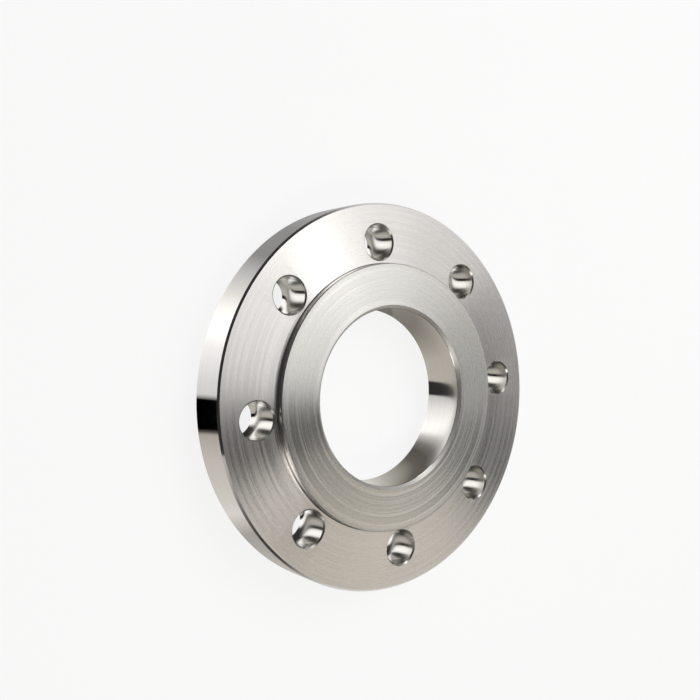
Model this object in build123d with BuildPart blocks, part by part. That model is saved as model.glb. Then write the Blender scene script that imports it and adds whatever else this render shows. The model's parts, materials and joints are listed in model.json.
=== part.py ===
from build123d import *
import os

os.makedirs("parts", exist_ok=True)

# A loose pipe flange with a raised face, turned from one stainless steel blank and
# drilled for eight bolts. It slips over a lapped 88.9 mm pipe (DN 80). It lies on its
# back face: the origin is on the bore axis at that face, and +Z points out of the
# raised face. All sizes are in millimetres.

# Ring
outer_diameter = 200.0
ring_thickness = 22.0
rim_chamfer = 1.0

# Bolt holes, on a circle that lies a set distance in from the rim. One hole is on the
# +X axis.
bolt_count = 8
bolt_hole_diameter = 18.0
bolt_hole_chamfer = 0.75
bolt_edge_distance = 20.0

# Raised face, which ends a little short of the bolt holes
face_height = 4.0
face_to_hole_gap = 2.0
face_edge_break = 0.5
face_root_radius = 0.5

# Bore, which clears the plain end of the pipe; the clearance is on the diameter
pipe_diameter = 88.9
pipe_clearance = 3.1
bore_front_chamfer = 1.6
bore_back_chamfer = 1.0

outer_radius = outer_diameter / 2
bolt_circle_radius = outer_radius - bolt_edge_distance
face_radius = bolt_circle_radius - bolt_hole_diameter / 2 - face_to_hole_gap
bore_radius = (pipe_diameter + pipe_clearance) / 2
overall_height = ring_thickness + face_height

# Half section on the XZ plane, with the edge breaks that the lathe leaves. It runs
# from the back of the bore out to the rim, and back over the raised face.
with BuildPart() as flange:
    with BuildSketch(Plane.XZ):
        with BuildLine():
            back = Polyline(
                (bore_radius, bore_back_chamfer),
                (bore_radius + bore_back_chamfer, 0),
                (outer_radius - rim_chamfer, 0),
                (outer_radius, rim_chamfer),
                (outer_radius, ring_thickness - rim_chamfer),
                (outer_radius - rim_chamfer, ring_thickness),
                (face_radius + face_root_radius, ring_thickness),
            )
            root = RadiusArc(
                back @ 1,
                (face_radius, ring_thickness + face_root_radius),
                face_root_radius,
            )
            Polyline(
                root @ 1,
                (face_radius, overall_height - face_edge_break),
                (face_radius - face_edge_break, overall_height),
                (bore_radius + bore_front_chamfer, overall_height),
                (bore_radius, overall_height - bore_front_chamfer),
                back @ 0,
            )
        make_face()
    revolve(axis=Axis.Z)

    # The bolt holes are drilled from the ring's front face, round the raised face, and
    # their edges are broken on both sides.
    with Locations(Plane.XY.offset(ring_thickness)):
        with PolarLocations(bolt_circle_radius, bolt_count):
            Hole(bolt_hole_diameter / 2)
    hole_edges = flange.edges(Select.LAST).filter_by(GeomType.CIRCLE)
    chamfer(hole_edges, bolt_hole_chamfer)

flange.part.label = "flange"
export_step(flange.part, "parts/flange.step")
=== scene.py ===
import json
import math

import bpy
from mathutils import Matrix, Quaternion, Vector


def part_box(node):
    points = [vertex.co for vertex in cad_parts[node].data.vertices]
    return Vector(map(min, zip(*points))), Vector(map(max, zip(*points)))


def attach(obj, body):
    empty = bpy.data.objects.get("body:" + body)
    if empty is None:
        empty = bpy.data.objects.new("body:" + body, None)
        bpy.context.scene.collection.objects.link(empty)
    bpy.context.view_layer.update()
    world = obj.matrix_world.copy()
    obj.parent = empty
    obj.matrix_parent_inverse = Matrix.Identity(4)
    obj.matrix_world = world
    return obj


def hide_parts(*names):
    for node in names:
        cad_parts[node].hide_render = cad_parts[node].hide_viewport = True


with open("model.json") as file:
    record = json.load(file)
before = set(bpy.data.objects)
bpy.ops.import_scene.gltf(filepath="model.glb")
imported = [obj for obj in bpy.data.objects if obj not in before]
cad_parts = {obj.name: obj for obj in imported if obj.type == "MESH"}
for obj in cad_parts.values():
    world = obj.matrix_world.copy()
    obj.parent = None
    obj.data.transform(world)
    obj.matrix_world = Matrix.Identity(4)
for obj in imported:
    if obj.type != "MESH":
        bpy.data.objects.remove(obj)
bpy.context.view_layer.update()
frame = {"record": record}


# The flange is one stainless steel forging, faced and bored on a lathe and then drilled.
# The tool leaves fine rings on every turned face, so the gloss runs out in fans across
# them. The raised face has a regular fine groove, which grips the gasket.
mounts = {mount["name"]: mount["dims"] for mount in frame["record"]["mounts"]}
bore_radius = mounts["bore"]["r_mm"] / 1000
bolt_count = mounts["bolt_circle"]["count"]
bolt_circle_radius = mounts["bolt_circle"]["pcd_mm"] / 2 / 1000
bolt_hole_radius = mounts["bolt_circle"]["hole_r_mm"] / 1000
flange_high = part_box("flange")[1]
rim_radius = flange_high.x
face_top = flange_high.z
face_height = 0.004
ring_top = face_top - face_height
face_radius = 0.069
face_edge_break = 0.0005
face_root_radius = 0.0005
rim_chamfer = 0.001
bore_front_chamfer = 0.0016
bore_back_chamfer = 0.001
bolt_hole_chamfer = 0.00075

# The groove is cut as rings, with a plain land at each edge of the face
groove_pitch = 0.001
groove_depth = 0.00004
groove_land = 0.0012
groove_outer = face_radius - face_edge_break - groove_land
groove_inner = bore_radius + bore_front_chamfer + groove_land
groove_count = int((groove_outer - groove_inner) / groove_pitch)

root_steps = 5
turned_steps = 256
drilled_steps = 72
merge_distance = 0.000002
smooth_angle = math.radians(30)

# Half section, as radius and height. It runs from the back of the bore out to the rim,
# and back over the raised face.
section_start = (bore_radius, bore_back_chamfer)
section = [
    (bore_radius + bore_back_chamfer, 0.0),
    (rim_radius - rim_chamfer, 0.0),
    (rim_radius, rim_chamfer),
    (rim_radius, ring_top - rim_chamfer),
    (rim_radius - rim_chamfer, ring_top),
]
for step in range(root_steps + 1):
    angle = math.pi / 2 * step / root_steps
    root_radius = face_radius + face_root_radius * (1 - math.sin(angle))
    root_height = ring_top + face_root_radius * (1 - math.cos(angle))
    section.append((root_radius, root_height))
section.append((face_radius, face_top - face_edge_break))
section.append((face_radius - face_edge_break, face_top))
section.append((groove_outer, face_top))
for groove in range(groove_count):
    crest = groove_outer - groove * groove_pitch
    section.append((crest - groove_pitch / 2, face_top - groove_depth))
    section.append((crest - groove_pitch, face_top))
section.append((bore_radius + bore_front_chamfer, face_top))
section.append((bore_radius, face_top - bore_front_chamfer))
section.append(section_start)

bpy.ops.object.select_all(action="DESELECT")
bpy.ops.mesh.primitive_plane_add()
flange = bpy.context.object
flange.name = "turned_flange"
bpy.ops.object.mode_set(mode="EDIT")
bpy.ops.mesh.select_all(action="SELECT")
bpy.ops.mesh.merge(type="CENTER")
bpy.ops.transform.translate(value=(section_start[0], 0.0, section_start[1]))
last = section_start
for point in section:
    line = (point[0] - last[0], 0.0, point[1] - last[1])
    bpy.ops.mesh.extrude_region_move(TRANSFORM_OT_translate={"value": line})
    last = point
bpy.ops.mesh.select_all(action="SELECT")
bpy.ops.mesh.spin(
    steps=turned_steps, angle=2 * math.pi, center=(0.0, 0.0, 0.0), axis=(0.0, 0.0, 1.0)
)
bpy.ops.mesh.select_all(action="SELECT")
bpy.ops.mesh.remove_doubles(threshold=merge_distance)
bpy.ops.mesh.normals_make_consistent(inside=False)
bpy.ops.object.mode_set(mode="OBJECT")

# The drill is wider at both ends, for the chamfers, and runs a little past each face. It
# is turned by part of a step, so that its corners stay clear of the turned edges.
drill_overrun = 0.0005
drill_flare = bolt_hole_chamfer + drill_overrun
drill_end_radius = bolt_hole_radius + drill_flare
flare_scale = drill_end_radius / bolt_hole_radius
drill_rises = [
    (drill_flare, 1 / flare_scale),
    (ring_top - 2 * bolt_hole_chamfer, 1.0),
    (drill_flare, flare_scale),
]
turned_share = 0.31
drill_turn = turned_share * 2 * math.pi / drilled_steps
hole_places = []
for hole in range(bolt_count):
    angle = 2 * math.pi * hole / bolt_count
    hole_places.append((bolt_circle_radius * math.cos(angle), bolt_circle_radius * math.sin(angle)))
for hole_x, hole_y in hole_places:
    bpy.ops.object.select_all(action="DESELECT")
    bpy.ops.mesh.primitive_circle_add(
        vertices=drilled_steps,
        radius=drill_end_radius,
        fill_type="NGON",
        location=(hole_x, hole_y, -drill_overrun),
        rotation=(0.0, 0.0, drill_turn),
    )
    drill = bpy.context.object
    bpy.ops.object.mode_set(mode="EDIT")
    bpy.ops.mesh.select_all(action="SELECT")
    for rise, scale in drill_rises:
        bpy.ops.mesh.extrude_region_move(TRANSFORM_OT_translate={"value": (0.0, 0.0, rise)})
        bpy.ops.transform.resize(value=(scale, scale, 1.0), center_override=(hole_x, hole_y, 0.0))
    bpy.ops.mesh.select_all(action="SELECT")
    bpy.ops.mesh.normals_make_consistent(inside=False)
    bpy.ops.object.mode_set(mode="OBJECT")
    bpy.ops.object.select_all(action="DESELECT")
    flange.select_set(True)
    bpy.context.view_layer.objects.active = flange
    cut = flange.modifiers.new("drilled", "BOOLEAN")
    cut.operation = "DIFFERENCE"
    cut.solver = "EXACT"
    cut.object = drill
    bpy.ops.object.modifier_apply(modifier=cut.name)
    bpy.data.objects.remove(drill)
bpy.ops.object.mode_set(mode="EDIT")
bpy.ops.mesh.select_all(action="SELECT")
bpy.ops.mesh.remove_doubles(threshold=merge_distance)
bpy.ops.mesh.dissolve_degenerate(threshold=merge_distance)
bpy.ops.object.mode_set(mode="OBJECT")
bpy.ops.object.shade_smooth_by_angle(angle=smooth_angle)
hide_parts("flange")
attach(flange, "root")

# Walls are cut finer than faces, and edges broken by hand feed stay duller
steel_dark = (0.565, 0.548, 0.525, 1.0)
steel_light = (0.675, 0.660, 0.640, 1.0)
face_tint = (1.030, 1.042, 1.025, 1.0)
# The colour of the painted shade in the corner at the foot of the raised face
painted_corner_shade = (0.34, 0.33, 0.32, 1.0)
smoothest = 0.25
roughest = 0.31
face_roughness_change = -0.03
wall_roughness = 0.11
hole_roughness = 0.145
edge_roughness = 0.45
step_wall_share = 0.7
hole_edge_share = 0.4
ring_contrast = 0.45
face_contrast = 1.4
cloud_scale = 45.0
cloud_start = 0.3
cloud_end = 0.7
cloud_shade = 0.10
relief_strength = 0.45
relief_depth = 0.00001
wall_relief = 0.25

# Tool marks of three spacings, with the share that each has in the whole. The noise
# that draws them runs from faint to strong between two of its levels.
mark_layers = [(0.00035, 0.30), (0.0013, 0.40), (0.0032, 0.30)]
wall_mark_stretch = 1.7
noise_faint = 0.25
noise_strong = 0.75
middle_tone = 0.5
smooth_marks = 0.2
rough_marks = 0.8

node_spacing = 220
nodes_in_row = 10


def add_node(tree, kind, **settings):
    """A new node with these settings, set down in rows in the order of making."""
    row, column = divmod(len(tree.nodes), nodes_in_row)
    node = tree.nodes.new(kind)
    node.location = (column * node_spacing, -row * 2 * node_spacing)
    for name, value in settings.items():
        setattr(node, name, value)
    return node


def feed(tree, socket, value):
    """Links a socket to another node's output, or sets it to a plain value."""
    if isinstance(value, bpy.types.NodeSocket):
        tree.links.new(value, socket)
    else:
        socket.default_value = value


def calculate(tree, operation, first, second):
    node = add_node(tree, "ShaderNodeMath", operation=operation)
    feed(tree, node.inputs[0], first)
    feed(tree, node.inputs[1], second)
    return node.outputs[0]


def ramp_between(tree, value, low, high, low_result, high_result):
    """A smooth change from one result to the other as value goes from low to high."""
    node = add_node(tree, "ShaderNodeMapRange", interpolation_type="SMOOTHSTEP")
    feed(tree, node.inputs["Value"], value)
    feed(tree, node.inputs["From Min"], low)
    feed(tree, node.inputs["From Max"], high)
    feed(tree, node.inputs["To Min"], low_result)
    feed(tree, node.inputs["To Max"], high_result)
    return node.outputs["Result"]


def mask_above(tree, value, low, high):
    return ramp_between(tree, value, low, high, 0.0, 1.0)


def mask_below(tree, value, low, high):
    return ramp_between(tree, value, low, high, 1.0, 0.0)


def all_of(tree, first, *others):
    """A mask that is there only where every one of these is."""
    mask = first
    for other in others:
        mask = calculate(tree, "MULTIPLY", mask, other)
    return mask


def any_of(tree, first, *others):
    """A mask that is there wherever one of these is."""
    mask = first
    for other in others:
        mask = calculate(tree, "MAXIMUM", mask, other)
    return mask


def blend_values(tree, amount, first, second):
    node = add_node(tree, "ShaderNodeMix", data_type="FLOAT")
    feed(tree, node.inputs[0], amount)
    feed(tree, node.inputs[2], first)
    feed(tree, node.inputs[3], second)
    return node.outputs[0]


def blend_colours(tree, amount, first, second, mode="MIX"):
    node = add_node(tree, "ShaderNodeMix", data_type="RGBA", blend_type=mode)
    feed(tree, node.inputs[0], amount)
    feed(tree, node.inputs[6], first)
    feed(tree, node.inputs[7], second)
    return node.outputs[2]


# Lines of uneven strength across a length, for all three spacings
tool_marks = bpy.data.node_groups.new("tool_marks", "ShaderNodeTree")
tool_marks.interface.new_socket("Across", in_out="INPUT", socket_type="NodeSocketFloat")
tool_marks.interface.new_socket("Spacing", in_out="INPUT", socket_type="NodeSocketFloat")
tool_marks.interface.new_socket("Marks", in_out="OUTPUT", socket_type="NodeSocketFloat")
marks_in = add_node(tool_marks, "NodeGroupInput")
marks_out = add_node(tool_marks, "NodeGroupOutput")
marks_count = calculate(tool_marks, "DIVIDE", marks_in.outputs["Across"], marks_in.outputs["Spacing"])
marks_noise = add_node(tool_marks, "ShaderNodeTexNoise", noise_dimensions="1D")
marks_noise.inputs["Scale"].default_value = 1.0
marks_noise.inputs["Detail"].default_value = 1.0
tool_marks.links.new(marks_count, marks_noise.inputs["W"])
marks_value = mask_above(tool_marks, marks_noise.outputs["Fac"], noise_faint, noise_strong)
tool_marks.links.new(marks_value, marks_out.inputs["Marks"])

steel = bpy.data.materials.new("turned_steel")
steel.use_nodes = True
tree = steel.node_tree
tree.nodes.clear()
output = add_node(tree, "ShaderNodeOutputMaterial")
surface = add_node(tree, "ShaderNodeBsdfPrincipled")
tree.links.new(surface.outputs["BSDF"], output.inputs["Surface"])
surface.inputs["Metallic"].default_value = 1.0
surface.inputs["Anisotropic"].default_value = 0.83
surface.inputs["Anisotropic Rotation"].default_value = 0.25
round_axis = add_node(tree, "ShaderNodeTangent", direction_type="RADIAL", axis="Z")
tree.links.new(round_axis.outputs["Tangent"], surface.inputs["Tangent"])

# Distance from the axis, and height over the back face
coordinates = add_node(tree, "ShaderNodeTexCoord")
place = coordinates.outputs["Object"]
flat_place = add_node(tree, "ShaderNodeMapping")
flat_place.inputs["Scale"].default_value = (1.0, 1.0, 0.0)
tree.links.new(place, flat_place.inputs["Vector"])
from_axis = add_node(tree, "ShaderNodeVectorMath", operation="LENGTH")
tree.links.new(flat_place.outputs["Vector"], from_axis.inputs[0])
radius = from_axis.outputs["Value"]
place_parts = add_node(tree, "ShaderNodeSeparateXYZ")
tree.links.new(place, place_parts.inputs["Vector"])
height = place_parts.outputs["Z"]

# The masks' edges are placed in tenths of a millimetre. First the walls of the bolt
# holes, which lie in one band of the ring, between its two flat sides.
tenth = 0.0001
holes_inner = bolt_circle_radius - bolt_hole_radius - 5 * tenth
holes_outer = bolt_circle_radius + bolt_hole_radius + 15 * tenth
past_inner = mask_above(tree, radius, holes_inner, holes_inner + 2 * tenth)
before_outer = mask_below(tree, radius, holes_outer, holes_outer + 2 * tenth)
under_front = mask_below(tree, height, ring_top - 0.6 * tenth, ring_top - 0.2 * tenth)
over_back = mask_above(tree, height, 0.5 * tenth, 2 * tenth)
in_hole = all_of(tree, past_inner, before_outer, under_front, over_back)

# The raised face, its side wall, and the painted shade in the corner at its foot
on_face = mask_above(tree, height, face_top - 3 * tenth, face_top - tenth)
near_foot = mask_below(tree, radius, face_radius + 3 * tenth, face_radius + 7 * tenth)
past_face = mask_above(tree, radius, face_radius - 10 * tenth, face_radius - 4 * tenth)
at_foot = all_of(tree, near_foot, past_face)
over_root = mask_above(tree, height, ring_top + 4 * tenth, ring_top + 7 * tenth)
under_edge = mask_below(tree, height, face_top - 6 * tenth, face_top - 5 * tenth)
on_step = all_of(tree, over_root, under_edge, at_foot, step_wall_share)
# Painted shade: the colour is darkened low down round the foot of the raised face, where the corner
# lies in shade
low_down = mask_below(tree, height, ring_top + 4 * tenth, ring_top + 20 * tenth)
painted_corner_shade_mask = all_of(tree, at_foot, low_down)

# The rim and the bore
rim_edge = rim_radius - rim_chamfer
on_rim = mask_above(tree, radius, rim_edge - tenth, rim_edge)
in_bore = mask_below(tree, radius, bore_radius + tenth, bore_radius + 2 * tenth)
on_wall = any_of(tree, on_rim, in_bore, on_step)

# The broken edges at the front of the bore and of the bolt holes
bore_edge = bore_radius + bore_front_chamfer
past_bore = mask_above(tree, radius, bore_radius + tenth, bore_radius + 2 * tenth)
before_face = mask_below(tree, radius, bore_edge - tenth, bore_edge)
high_up = mask_above(tree, height, ring_top, ring_top + 10 * tenth)
on_bore_edge = all_of(tree, past_bore, before_face, high_up)
hole_edge = ring_top - bolt_hole_chamfer
over_hole = mask_above(tree, height, hole_edge - tenth, hole_edge)
on_hole_edge = all_of(tree, over_hole, in_hole, hole_edge_share)
on_edge = any_of(tree, on_bore_edge, on_hole_edge)

# The tool's marks run round the axis on the faces and up the walls. A drill's marks in
# the holes follow the height alone.
off_hole = calculate(tree, "SUBTRACT", 1.0, in_hole)
turned_radius = calculate(tree, "MULTIPLY", radius, off_hole)
stretched_height = calculate(tree, "MULTIPLY", height, wall_mark_stretch)
across = calculate(tree, "ADD", turned_radius, stretched_height)
marks = 0.0
for spacing, share in mark_layers:
    layer = add_node(tree, "ShaderNodeGroup", node_tree=tool_marks)
    layer.inputs["Spacing"].default_value = spacing
    tree.links.new(across, layer.inputs["Across"])
    layer_share = calculate(tree, "MULTIPLY", layer.outputs["Marks"], share)
    marks = calculate(tree, "ADD", marks, layer_share)

# The marks shade the steel to both sides of its middle tone, most of all on the face
clouds = add_node(tree, "ShaderNodeTexNoise")
clouds.inputs["Scale"].default_value = cloud_scale
clouds.inputs["Detail"].default_value = 3.0
tree.links.new(place, clouds.inputs["Vector"])
contrast = ramp_between(tree, on_face, 0.0, 1.0, ring_contrast, face_contrast)
off_middle = calculate(tree, "SUBTRACT", marks, middle_tone)
off_middle = calculate(tree, "MULTIPLY", off_middle, contrast)
shade = calculate(tree, "ADD", off_middle, middle_tone)
colour = blend_colours(tree, shade, steel_dark, steel_light)
cloudy = ramp_between(tree, clouds.outputs["Fac"], cloud_start, cloud_end, 0.0, cloud_shade)
colour = blend_colours(tree, cloudy, colour, steel_dark)
face_colour = blend_colours(tree, 1.0, colour, face_tint, mode="MULTIPLY")
colour = blend_colours(tree, on_face, colour, face_colour)
# Painted shade in the corner at the foot of the raised face
colour = blend_colours(tree, painted_corner_shade_mask, colour, painted_corner_shade)
tree.links.new(colour, surface.inputs["Base Color"])

rough = ramp_between(tree, marks, smooth_marks, rough_marks, smoothest, roughest)
face_change = calculate(tree, "MULTIPLY", on_face, face_roughness_change)
rough = calculate(tree, "ADD", rough, face_change)
rough = blend_values(tree, on_wall, rough, wall_roughness)
rough = blend_values(tree, in_hole, rough, hole_roughness)
rough = blend_values(tree, on_edge, rough, edge_roughness)
tree.links.new(rough, surface.inputs["Roughness"])

smooth_cut = any_of(tree, on_wall, in_hole)
relief_share = ramp_between(tree, smooth_cut, 0.0, 1.0, 1.0, wall_relief)
relief = calculate(tree, "MULTIPLY", marks, relief_share)
bump = add_node(tree, "ShaderNodeBump")
bump.inputs["Strength"].default_value = relief_strength
bump.inputs["Distance"].default_value = relief_depth
tree.links.new(relief, bump.inputs["Height"])
tree.links.new(bump.outputs["Normal"], surface.inputs["Normal"])

flange.data.materials.append(steel)


# The camera looks down on the flange and is turned on its side, so that the picture
# has the rim on the left, as when the flange stands upright.
camera_place = Vector((-0.05895, -0.27291, 0.35614))
camera_aim = Vector((-0.0270, -0.02364, 0.0220))
camera_roll = math.radians(91.57)
camera_data = bpy.data.cameras.new("camera")
camera_data.sensor_width = 36.0
camera_data.lens = 43.06
camera = bpy.data.objects.new("camera", camera_data)
bpy.context.scene.collection.objects.link(camera)
camera.location = camera_place
camera.rotation_mode = "QUATERNION"
look = (camera_aim - camera_place).to_track_quat("-Z", "Y")
camera.rotation_quaternion = look @ Quaternion((0.0, 0.0, 1.0), camera_roll)
bpy.context.scene.camera = camera
bpy.context.scene.view_settings.view_transform = "Standard"


# The floor is a plain sheet of near white, a hair under the flange. The camera and the
# steel see it mostly as an even white, and the rest of it keeps the flange's faint shadow.
floor_half_width = 3.0
floor_height = -0.0003
floor_colour = (0.95, 0.95, 0.95, 1.0)
floor_white_share = 0.84


def level_square(name, x, y, half_width, height):
    """A level square round the place x, y, with its own zero at the scene's."""
    bpy.ops.object.select_all(action="DESELECT")
    bpy.ops.mesh.primitive_plane_add(size=2 * half_width, location=(x, y, height))
    bpy.ops.object.transform_apply(location=True, rotation=False, scale=False)
    flat = bpy.context.object
    flat.name = name
    return flat


floor = level_square("floor", 0.0, 0.0, floor_half_width, floor_height)
floor_paint = bpy.data.materials.new("floor_paint")
floor_paint.use_nodes = True
tree = floor_paint.node_tree
floor_shader = tree.nodes["Principled BSDF"]
floor_shader.inputs["Base Color"].default_value = floor_colour
floor_shader.inputs["Roughness"].default_value = 0.8
floor_shader.inputs["Specular IOR Level"].default_value = 0.1
even_white = add_node(tree, "ShaderNodeEmission")
even_white.inputs["Strength"].default_value = 1.0
rays = add_node(tree, "ShaderNodeLightPath")
seen = calculate(tree, "ADD", rays.outputs["Is Camera Ray"], rays.outputs["Is Glossy Ray"])
seen = calculate(tree, "ADD", seen, rays.outputs["Is Transmission Ray"])
white_share = calculate(tree, "MULTIPLY", seen, floor_white_share)
floor_mix = add_node(tree, "ShaderNodeMixShader")
tree.links.new(white_share, floor_mix.inputs["Fac"])
tree.links.new(floor_shader.outputs["BSDF"], floor_mix.inputs[1])
tree.links.new(even_white.outputs["Emission"], floor_mix.inputs[2])
tree.links.new(floor_mix.outputs["Shader"], tree.nodes["Material Output"].inputs["Surface"])
floor.data.materials.append(floor_paint)


# Light and dark cards lie on the floor under the flange and beside it, where only the
# steel shows them. They give its rim, bore and bolt holes their bright and dark bands.
# A round wall shows a card in straight bands when the card's tones fan out from its focus.
rim_card_height = -0.0001
inner_card_height = -0.00005
rim_card_reach = 0.16
brightest = 2.0
plain_tone = 0.93
fade_start = 0.7
fade_end = 0.95
viewer_azimuth = math.radians(192.0)

# Each tone is an azimuth in degrees, from +Y towards +X, and a colour
rim_tones = [
    (-178, (0.00, 0.00, 0.00)),
    (-176.5, (0.97, 0.97, 0.97)),
    (-168, (1.08, 1.08, 1.08)),
    (-150, (1.42, 1.42, 1.42)),
    (-140, (1.80, 1.80, 1.78)),
    (-130, (1.60, 1.59, 1.56)),
    (-121, (1.15, 1.13, 1.10)),
    (-110, (0.75, 0.75, 0.75)),
    (-101, (0.38, 0.38, 0.38)),
    (-86, (0.36, 0.36, 0.36)),
    (-58, (0.56, 0.56, 0.56)),
    (0, (0.90, 0.90, 0.90)),
    (90, (0.60, 0.57, 0.53)),
    (115, (0.52, 0.49, 0.46)),
    (125, (0.98, 0.94, 0.90)),
    (134, (0.88, 0.85, 0.80)),
    (151, (0.80, 0.75, 0.70)),
    (163, (0.62, 0.58, 0.54)),
    (165, (0.00, 0.00, 0.00)),
]
bore_tones = [
    (-177, (0.04, 0.04, 0.04)),
    (-175, (0.85, 0.85, 0.85)),
    (-158, (1.25, 1.25, 1.25)),
    (-135, (1.65, 1.65, 1.63)),
    (-126, (1.60, 1.60, 1.58)),
    (-120, (0.86, 0.85, 0.84)),
    (-112, (0.30, 0.29, 0.28)),
    (-104, (0.15, 0.14, 0.12)),
    (-94, (0.18, 0.17, 0.15)),
    (-82, (0.44, 0.43, 0.38)),
    (-60, (0.80, 0.80, 0.74)),
    (20, (0.55, 0.55, 0.53)),
    (45, (0.22, 0.22, 0.20)),
    (90, (0.22, 0.21, 0.19)),
    (108, (0.31, 0.29, 0.26)),
    (125, (0.50, 0.47, 0.42)),
    (140, (0.68, 0.65, 0.58)),
    (164, (0.72, 0.69, 0.63)),
    (166, (0.04, 0.04, 0.04)),
]
hole_tones = [
    (-177, (0.00, 0.00, 0.00)),
    (-175, (1.20, 1.19, 1.17)),
    (-160, (1.65, 1.64, 1.62)),
    (-135, (1.55, 1.53, 1.50)),
    (-124, (0.70, 0.68, 0.66)),
    (-117, (0.06, 0.06, 0.05)),
    (-92, (0.03, 0.03, 0.03)),
    (92, (0.03, 0.03, 0.03)),
    (103, (0.08, 0.08, 0.07)),
    (118, (0.50, 0.49, 0.45)),
    (140, (0.70, 0.68, 0.62)),
    (163, (0.62, 0.60, 0.55)),
    (165, (0.00, 0.00, 0.00)),
]


def fan_stops(tones, turn):
    """The tones as places round the card, from 0 to 1, with the fan turned by so many degrees."""
    stops = []
    for azimuth, tone in tones:
        stops.append((((90 - azimuth + turn) / 360 + 0.5) % 1.0, tone))
    return sorted(stops)


def card_colour(tone):
    return [channel / brightest for channel in tone] + [1.0]


def card(name, x, y, radius, reach, height, stops):
    """A square card for the wall round x, y. Its radius is negative where the wall faces out."""
    focus_x = x - radius / 2 * math.sin(viewer_azimuth)
    focus_y = y - radius / 2 * math.cos(viewer_azimuth)
    flat = level_square(name, x - focus_x, y - focus_y, reach, height)
    flat.location = (focus_x, focus_y, 0.0)
    flat.visible_camera = False
    flat.visible_diffuse = False
    flat.visible_shadow = False
    flat.visible_transmission = False
    paint = bpy.data.materials.new(name)
    paint.use_nodes = True
    tree = paint.node_tree
    tree.nodes.clear()
    coordinates = add_node(tree, "ShaderNodeTexCoord")
    place = coordinates.outputs["Object"]
    fan = add_node(tree, "ShaderNodeTexGradient", gradient_type="RADIAL")
    tree.links.new(place, fan.inputs["Vector"])
    ramp = add_node(tree, "ShaderNodeValToRGB")
    tree.links.new(fan.outputs["Fac"], ramp.inputs["Fac"])
    elements = ramp.color_ramp.elements
    elements.remove(elements[0])
    for index, (position, tone) in enumerate(stops):
        element = elements[0] if index == 0 else elements.new(position)
        element.position = position
        element.color = card_colour(tone)
    colour = ramp.outputs["Color"]
    if radius < 0:
        from_middle = add_node(tree, "ShaderNodeMapping")
        from_middle.inputs["Location"].default_value = (focus_x - x, focus_y - y, 0.0)
        tree.links.new(place, from_middle.inputs["Vector"])
        distance = add_node(tree, "ShaderNodeVectorMath", operation="LENGTH")
        tree.links.new(from_middle.outputs["Vector"], distance.inputs[0])
        fade = mask_above(tree, distance.outputs["Value"], fade_start * reach, fade_end * reach)
        colour = blend_colours(tree, fade, colour, card_colour((plain_tone, plain_tone, plain_tone)))
    glow = add_node(tree, "ShaderNodeEmission")
    glow.inputs["Strength"].default_value = brightest
    tree.links.new(colour, glow.inputs["Color"])
    output = add_node(tree, "ShaderNodeOutputMaterial")
    tree.links.new(glow.outputs["Emission"], output.inputs["Surface"])
    flat.data.materials.append(paint)


rim_stops = fan_stops(rim_tones, 0)
bore_stops = fan_stops(bore_tones, 180)
hole_stops = sorted(fan_stops(hole_tones, 0) + fan_stops(hole_tones, 180))
card("rim_card", 0.0, 0.0, -rim_radius, rim_card_reach, rim_card_height, rim_stops)
card("bore_card", 0.0, 0.0, bore_radius, bore_radius, inner_card_height, bore_stops)
for number, (hole_x, hole_y) in enumerate(hole_places, start=1):
    name = f"hole_card_{number}"
    card(name, hole_x, hole_y, bolt_hole_radius, bolt_hole_radius, inner_card_height, hole_stops)


# The studio round the floor is pale near the ground and dark overhead, and steel shows
# both. The camera itself sees an even white past the floor's end.
background_strength = 0.95
pale_strength = 0.70
overhead_strength = 0.04
pale_top = 0.02
overhead_start = 0.14

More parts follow.
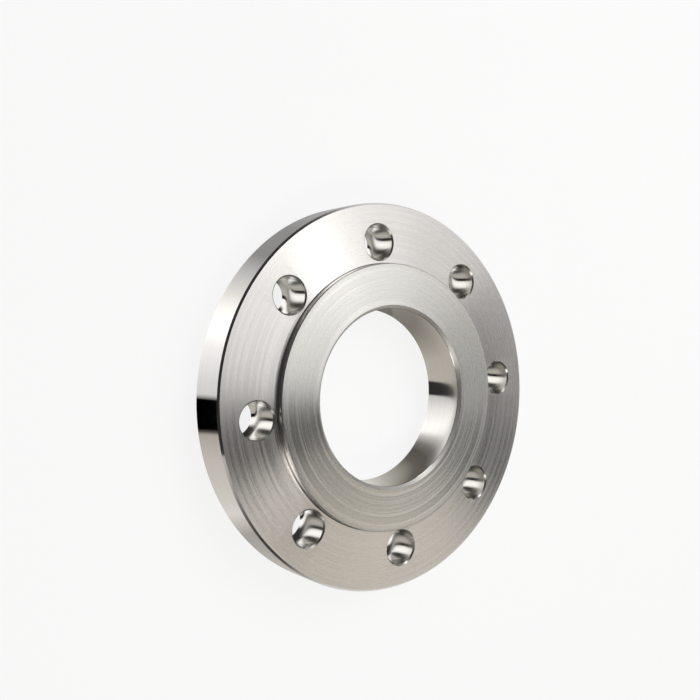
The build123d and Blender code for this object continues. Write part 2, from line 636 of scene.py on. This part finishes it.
world = bpy.data.worlds.new("studio")
bpy.context.scene.world = world
world.use_nodes = True
tree = world.node_tree
direction = add_node(tree, "ShaderNodeTexCoord")
direction_parts = add_node(tree, "ShaderNodeSeparateXYZ")
tree.links.new(direction.outputs["Generated"], direction_parts.inputs["Vector"])
upwards = direction_parts.outputs["Z"]
studio = ramp_between(tree, upwards, pale_top, overhead_start, pale_strength, overhead_strength)
eye = add_node(tree, "ShaderNodeLightPath")
strength = blend_values(tree, eye.outputs["Is Camera Ray"], studio, background_strength)
backdrop = tree.nodes["Background"]
backdrop.inputs["Color"].default_value = (1.0, 1.0, 1.0, 1.0)
tree.links.new(strength, backdrop.inputs["Strength"])


# Soft lamps stand round the flange. The three on the key side overlap, and the dark gaps
# between the lamps give the dark fans in the steel. Azimuths and turns are in degrees.
lamp_distance = 1.3


def softbox(name, azimuth, elevation, width, height, turn, radiance, colour=(1.0, 1.0, 1.0)):
    """A soft lamp that faces the flange. Azimuth runs from +Y towards +X."""
    a = math.radians(azimuth)
    e = math.radians(elevation)
    away = Vector((math.sin(a) * math.cos(e), math.cos(a) * math.cos(e), math.sin(e)))
    lamp = bpy.data.lights.new(name, "AREA")
    lamp.shape = "RECTANGLE"
    lamp.size = width
    lamp.size_y = height
    lamp.energy = radiance * math.pi * width * height
    lamp.color = colour
    box = bpy.data.objects.new(name, lamp)
    bpy.context.scene.collection.objects.link(box)
    box.location = away * lamp_distance
    box.visible_camera = False
    box.rotation_mode = "QUATERNION"
    turned = Quaternion((0.0, 0.0, 1.0), math.radians(turn))
    box.rotation_quaternion = away.to_track_quat("Z", "Y") @ turned


softbox("key_light", azimuth=-35, elevation=53, width=1.03, height=1.56, turn=-10, radiance=0.53)
softbox("key_core_light", azimuth=-46, elevation=64, width=1.31, height=1.19, turn=43, radiance=0.99)
softbox("key_edge_light", azimuth=-66, elevation=45, width=0.46, height=1.22, turn=32, radiance=2.05)
softbox(
    "low_light",
    azimuth=-15,
    elevation=36,
    width=1.10,
    height=0.18,
    turn=-28,
    radiance=0.88,
    colour=(1.0, 0.99, 0.98),
)
softbox(
    "fill_light",
    azimuth=47,
    elevation=41,
    width=0.70,
    height=0.87,
    turn=20,
    radiance=0.97,
    colour=(1.0, 0.93, 0.82),
)
softbox(
    "near_light",
    azimuth=115,
    elevation=55,
    width=1.25,
    height=0.31,
    turn=37,
    radiance=3.3,
    colour=(1.0, 0.97, 0.93),
)
softbox(
    "low_near_light",
    azimuth=130,
    elevation=10,
    width=1.51,
    height=0.24,
    turn=-28,
    radiance=0.75,
    colour=(1.0, 0.97, 0.94),
)
